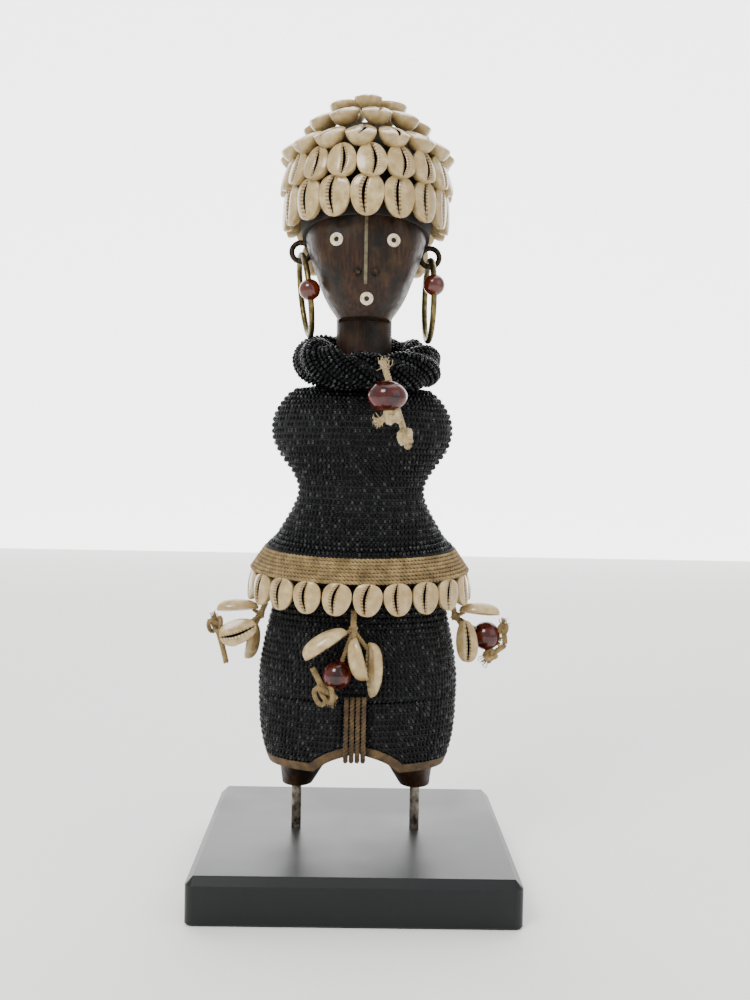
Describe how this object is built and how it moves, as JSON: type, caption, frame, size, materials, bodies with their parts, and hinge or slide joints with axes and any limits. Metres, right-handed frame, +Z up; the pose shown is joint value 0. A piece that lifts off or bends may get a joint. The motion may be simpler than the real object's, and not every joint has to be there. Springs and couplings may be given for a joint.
{
  "type": "fertility_doll",
  "caption": "Carved wooden fertility doll wrapped in black seed beads, with cowrie shell hair, twine belt, hoop earrings and hanging pendants, on a pinned display board",
  "frame": {"origin": "centre of the base board's underside", "axes": "+Z up, the doll faces -Y, +X is to the viewer's right when facing the doll"},
  "size_m": [0.125, 0.125, 0.3191],
  "materials": {
    "satin_black_board": "satin black painted wooden board",
    "pin_steel": "dull steel pin",
    "carved_wood": "dark oiled carved wood",
    "ivory_inlay": "pale ivory bead inlay",
    "pale_nose_inlay": "dull pale inlay strip",
    "blackened_iron": "blackened iron wire",
    "aged_brass": "aged olive brass wire",
    "orange_glass": "orange-red glass bead",
    "dark_netting": "dark netted cap",
    "cowrie": "glossy ivory cowrie shell",
    "black_seed_beads": "near-black glass seed beads",
    "jute_twine": "straw-coloured jute twine",
    "brown_hem": "brown stitched hem",
    "red_brown_bead": "dark red-brown glossy bead",
    "binding_cord": "tan binding cord"
  },
  "bodies": {
    "stand": {"base_board": "satin_black_board", "left_pin": "pin_steel", "right_pin": "pin_steel"},
    "left_hoop": {"left_earring_hoop": "aged_brass"},
    "right_hoop": {"right_earring_hoop": "aged_brass"},
    "left_hoop_bead": {"left_earring_bead": "orange_glass"},
    "right_hoop_bead": {"right_earring_bead": "orange_glass"},
    "neck_pendant": {"neck_pendant_twine": "jute_twine"},
    "neck_bead": {"neck_pendant_bead": "red_brown_bead"},
    "front_pendant": {"front_pendant_twine": "jute_twine", "front_pendant_shells": "cowrie", "front_pendant_bead": "red_brown_bead"},
    "left_hip_pendant": {"left_hip_pendant_twine": "jute_twine", "left_hip_pendant_shells": "cowrie", "left_hip_pendant_bead": "red_brown_bead"},
    "right_hip_pendant": {"right_hip_pendant_twine": "jute_twine", "right_hip_pendant_shells": "cowrie", "right_hip_pendant_bead": "red_brown_bead"},
    "figure": {"carved_figure": "carved_wood", "left_eye_ring": "ivory_inlay", "right_eye_ring": "ivory_inlay", "mouth_ring": "ivory_inlay", "nose_strip": "pale_nose_inlay", "left_nostril_tack": "ivory_inlay", "right_nostril_tack": "ivory_inlay", "left_ear_loop": "blackened_iron", "right_ear_loop": "blackened_iron", "hair_cap": "dark_netting", "hair_shells_nape": "cowrie", "hair_shells_row_1": "cowrie", "hair_shells_row_2": "cowrie", "hair_shells_row_3": "cowrie", "hair_shells_row_4": "cowrie", "hair_shells_crown": "cowrie", "bead_collar": "black_seed_beads", "torso_bead_wrap": "black_seed_beads", "hip_bead_wrap": "black_seed_beads", "left_leg_bead_wrap": "black_seed_beads", "right_leg_bead_wrap": "black_seed_beads", "left_leg_hem": "brown_hem", "right_leg_hem": "brown_hem", "belt_twine": "jute_twine", "belt_shells": "cowrie", "crotch_cords": "binding_cord"}
  },
  "joints": [
    {"name": "figure_lift", "type": "slide", "parent": "stand", "child": "figure", "axis": [0, 0, 1], "range_m": [0, 0.032]},
    {"name": "left_earring_swing", "type": "hinge", "parent": "figure", "child": "left_hoop", "pos_m": [-0.0266, -0.001, 0.2557], "axis": [-0.1426, 0.9898, 0], "range_deg": [0, 38]},
    {"name": "left_earring_bead_slide", "type": "hinge", "parent": "left_hoop", "child": "left_hoop_bead", "pos_m": [-0.02442, -0.00069, 0.23945], "axis": [-0.9809, -0.1413, -0.134], "range_deg": [-60, 0]},
    {"name": "right_earring_swing", "type": "hinge", "parent": "figure", "child": "right_hoop", "pos_m": [0.0266, -0.001, 0.2545], "axis": [0.0593, -0.9982, 0], "range_deg": [-3, 38]},
    {"name": "right_earring_bead_slide", "type": "hinge", "parent": "right_hoop", "child": "right_hoop_bead", "pos_m": [0.0266, -0.001, 0.2381], "axis": [-0.9982, -0.0593, 0], "range_deg": [-75, 35]},
    {"name": "neck_pendant_swing", "type": "hinge", "parent": "figure", "child": "neck_pendant", "pos_m": [0.0074, -0.0308, 0.2089], "axis": [-1, 0, 0], "range_deg": [0, 40]},
    {"name": "neck_bead_spin", "type": "hinge", "parent": "neck_pendant", "child": "neck_bead", "pos_m": [0.0092, -0.0382, 0.1963], "axis": [0, 0, 1], "continuous": true},
    {"name": "front_pendant_swing", "type": "hinge", "parent": "figure", "child": "front_pendant", "pos_m": [-0.0021, -0.0307, 0.1119], "axis": [-1, 0, 0], "range_deg": [0, 30]},
    {"name": "left_hip_pendant_swing", "type": "hinge", "parent": "figure", "child": "left_hip_pendant", "pos_m": [-0.0386, -0.005, 0.1121], "axis": [1, 0, 0], "range_deg": [-15, 15]},
    {"name": "right_hip_pendant_swing", "type": "hinge", "parent": "figure", "child": "right_hip_pendant", "pos_m": [0.0386, -0.005, 0.1121], "axis": [1, 0, 0], "range_deg": [-15, 15]}
  ]
}
